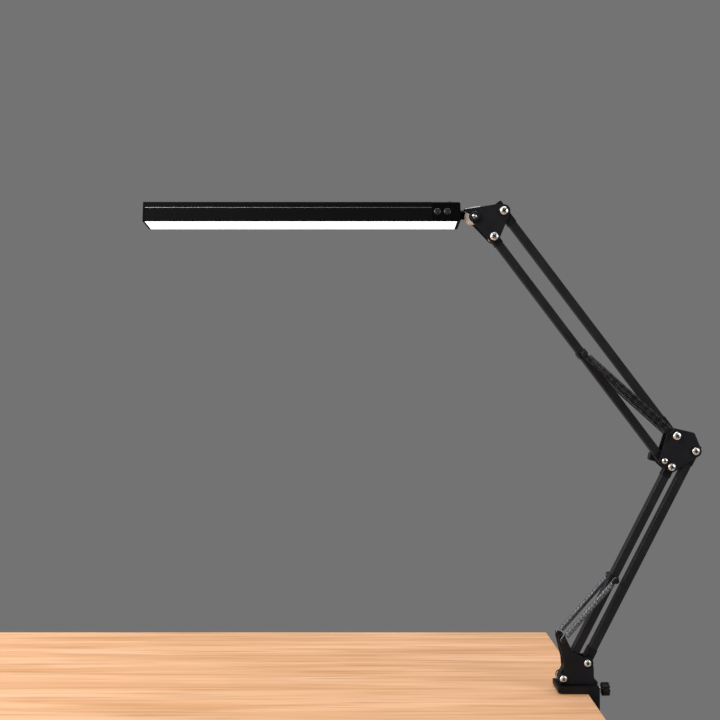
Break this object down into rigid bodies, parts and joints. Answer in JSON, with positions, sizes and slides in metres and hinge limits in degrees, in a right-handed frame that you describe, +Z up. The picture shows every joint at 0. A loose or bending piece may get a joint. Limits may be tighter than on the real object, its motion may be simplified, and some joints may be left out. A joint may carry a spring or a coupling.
{
  "type": "clamp lamp",
  "caption": "Desk lamp with a straight light bar on a jointed parallel-link arm with tension springs, on a bracket that swivels in a screw clamp.",
  "frame": {"origin": "middle of the upper jaw's pad, on the face that lies on the desk", "axes": "+Z up, +X from the desk's edge to the clamp's back, -Y towards the camera; the arm swings in the XZ plane"},
  "size_m": [0.708, 0.0432, 0.7426],
  "materials": {
    "clamp_paint": "satin black powder coat",
    "pad_rubber": "matt",
    "zinc_steel": "bright zinc",
    "knob_plastic": "fine grain",
    "nylon": "natural nylon",
    "plate_paint": "satin black",
    "bolt_nickel": "bright nickel",
    "tube_black": "satin black",
    "fitting_plastic": "satin",
    "clip_steel": "black",
    "spring_bright": "bright wire",
    "spring_black": "black wire",
    "joint_metal": "bright zinc",
    "bar_black": "fine satin black",
    "end_plastic": "satin",
    "opal": "opal white",
    "board_white": "white solder mask",
    "led_lens": "gloss",
    "board_green": "green solder mask",
    "trim_screw": "black oxide",
    "button_plastic": "gloss"
  },
  "bodies": {
    "clamp": {"clamp_frame": "clamp_paint", "jaw_pad": "pad_rubber", "swivel_washer": "zinc_steel"},
    "pressure": {"pressure_plate": "zinc_steel", "pressure_pad": "pad_rubber"},
    "screw": {"clamp_screw": "zinc_steel", "clamp_knob": "knob_plastic"},
    "lock_travel": {"lock_tip": "nylon"},
    "lock_turn": {"lock_screw": "zinc_steel", "lock_knob": "knob_plastic"},
    "base": {"base_bracket": "plate_paint", "swivel_post": "zinc_steel", "base_pivot_bolts": "bolt_nickel", "base_pivot_nuts": "bolt_nickel", "base_washers": "nylon", "spring_anchor_pins": "clip_steel"},
    "lower_rear": {"lower_rear_tube": "tube_black", "lower_rear_ends": "fitting_plastic"},
    "lower_front": {"lower_front_tube": "tube_black", "lower_front_ends": "fitting_plastic", "lower_spring_clip": "clip_steel"},
    "lower_springs": {"lower_spring_near": "spring_bright", "lower_spring_far": "spring_bright"},
    "elbow": {"elbow_front_plate": "plate_paint", "elbow_rear_plate": "plate_paint", "elbow_spacer": "plate_paint", "elbow_bolts": "bolt_nickel", "elbow_nuts": "bolt_nickel", "elbow_washers": "nylon", "elbow_spring_bolt": "bolt_nickel", "elbow_friction_bolt": "bolt_nickel"},
    "friction_knob": {"elbow_wing_nut": "knob_plastic"},
    "upper_top": {"upper_top_tube": "tube_black", "upper_top_ends": "fitting_plastic"},
    "upper_bottom": {"upper_bottom_tube": "tube_black", "upper_bottom_ends": "fitting_plastic", "upper_spring_clip": "clip_steel", "upper_spring_near": "spring_black", "upper_spring_far": "spring_black"},
    "head_bracket": {"head_front_plate": "plate_paint", "head_rear_plate": "plate_paint", "head_bolts": "bolt_nickel", "head_nuts": "bolt_nickel", "head_washers": "nylon"},
    "tilt_screw": {"tilt_knob": "knob_plastic", "tilt_bolt": "bolt_nickel"},
    "yoke": {"head_yoke": "joint_metal", "roll_spindle": "joint_metal"},
    "head": {"neck_collar": "end_plastic", "bar_housing": "bar_black", "bar_end_cap": "end_plastic", "control_housing": "end_plastic", "diffuser": "opal", "led_board": "board_white", "leds": "led_lens", "control_board": "board_green", "bar_screws": "trim_screw"},
    "power_key": {"power_button": "button_plastic"},
    "brightness_key": {"brightness_button": "button_plastic"}
  },
  "joints": [
    {"name": "pad_travel", "type": "slide", "parent": "clamp", "child": "pressure", "axis": [0, 0, 1], "range_m": [-0.024, 0.026]},
    {"name": "screw_turn", "type": "hinge", "parent": "pressure", "child": "screw", "pos_m": [0, 0, -0.0345], "axis": [0, 0, 1], "range_deg": [-2890, 3130]},
    {"name": "lock_slide", "type": "slide", "parent": "clamp", "child": "lock_travel", "axis": [1, 0, 0], "range_m": [-0.0001, 0.0016]},
    {"name": "lock_turn", "type": "hinge", "parent": "lock_travel", "child": "lock_turn", "pos_m": [0.0383, 0, 0.001], "axis": [1, 0, 0], "range_deg": [0, 540]},
    {"name": "base_swivel", "type": "hinge", "parent": "clamp", "child": "base", "pos_m": [0.025, 0, 0.01], "axis": [0, 0, 1], "continuous": true},
    {"name": "lower_arm", "type": "hinge", "parent": "base", "child": "lower_rear", "pos_m": [0.01875, 0, 0.0369], "axis": [0, -1, 0], "range_deg": [-10, 55]},
    {"name": "lower_front_link", "type": "hinge", "parent": "base", "child": "lower_front", "pos_m": [-0.01188, 0, 0.01686], "axis": [0, -1, 0], "range_deg": [-10, 55]},
    {"name": "elbow_level", "type": "hinge", "parent": "lower_rear", "child": "elbow", "pos_m": [0.15632, 0, 0.30574], "axis": [0, -1, 0], "range_deg": [-55, 10]},
    {"name": "lower_spring_swing", "type": "hinge", "parent": "base", "child": "lower_springs", "pos_m": [-0.01348, 0, 0.06786], "axis": [0, -1, 0], "range_deg": [-15, 82], "deforming": ["lower_spring_near", "lower_spring_far"]},
    {"name": "upper_arm", "type": "hinge", "parent": "elbow", "child": "upper_top", "pos_m": [0.1292, 0, 0.32596], "axis": [0, -1, 0], "range_deg": [-30, 35]},
    {"name": "upper_bottom_link", "type": "hinge", "parent": "elbow", "child": "upper_bottom", "pos_m": [0.1169, 0, 0.2934], "axis": [0, -1, 0], "range_deg": [-30, 35], "deforming": ["upper_spring_near", "upper_spring_far"]},
    {"name": "head_level", "type": "hinge", "parent": "upper_top", "child": "head_bracket", "pos_m": [-0.08725, 0, 0.61111], "axis": [0, -1, 0], "range_deg": [-35, 30]},
    {"name": "friction_knob_turn", "type": "hinge", "parent": "elbow", "child": "friction_knob", "pos_m": [0.1169, 0, 0.2934], "axis": [0, -1, 0], "range_deg": [-90, 180]},
    {"name": "tilt_knob_turn", "type": "hinge", "parent": "head_bracket", "child": "tilt_screw", "pos_m": [-0.12475, 0, 0.60391], "axis": [0, -1, 0], "range_deg": [0, 270]},
    {"name": "head_tilt", "type": "hinge", "parent": "head_bracket", "child": "yoke", "pos_m": [-0.12475, 0, 0.60391], "axis": [0, -1, 0], "range_deg": [-45, 65]},
    {"name": "head_roll", "type": "hinge", "parent": "yoke", "child": "head", "pos_m": [-0.14335, 0, 0.60691], "axis": [1, 0, 0], "range_deg": [-110, 110]},
    {"name": "power_press", "type": "slide", "parent": "head", "child": "power_key", "axis": [0, 0.9903, -0.1392], "range_m": [0, 0.0006], "stiffness_N_per_m": 400},
    {"name": "brightness_press", "type": "slide", "parent": "head", "child": "brightness_key", "axis": [0, 0.9903, -0.1392], "range_m": [0, 0.0006], "stiffness_N_per_m": 400}
  ],
  "couplings": [
    {"joint": "screw_turn", "follows": "pad_travel", "rad_per_m": 2094.4},
    {"joint": "lock_slide", "follows": "lock_turn", "m_per_rad": 0.00015915},
    {"joint": "lower_front_link", "follows": "lower_arm", "ratio": 1},
    {"joint": "elbow_level", "follows": "lower_arm", "ratio": -1},
    {"joint": "lower_spring_swing", "follows": "lower_arm", "ratio": 1.49},
    {"joint": "upper_bottom_link", "follows": "upper_arm", "ratio": 1},
    {"joint": "head_level", "follows": "upper_arm", "ratio": -1}
  ]
}
